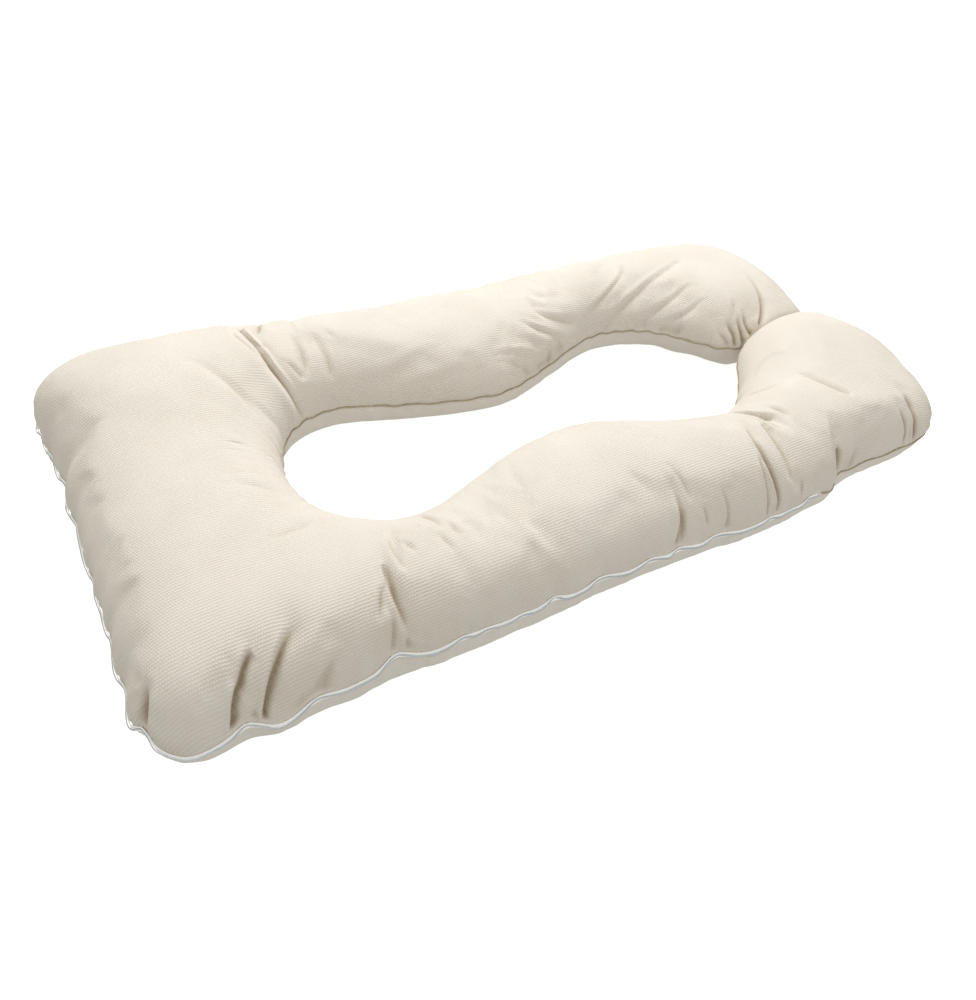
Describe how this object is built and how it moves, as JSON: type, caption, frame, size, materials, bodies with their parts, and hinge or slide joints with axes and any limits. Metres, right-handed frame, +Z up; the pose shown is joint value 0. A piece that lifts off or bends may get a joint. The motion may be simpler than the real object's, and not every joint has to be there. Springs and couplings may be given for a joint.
{
  "type": "pregnancy pillow",
  "caption": "U-shaped full-body pregnancy pillow, a plump filled cushion of brushed plush with two arms whose tips meet, sewn edge seam and coil zip",
  "frame": {"origin": "on the floor under the middle of the pillow", "axes": "+X from the head roll to the tips of the arms, +Y across to the farther arm, +Z up"},
  "size_m": [1.5339, 0.7906, 0.1882],
  "materials": {
    "plush": "brushed plush with fine embossed rows",
    "tape": "woven",
    "coil": "satin"
  },
  "bodies": {
    "root": {"pillow": "plush", "zip_tape": "tape", "zip_coil": "coil"}
  },
  "joints": []
}
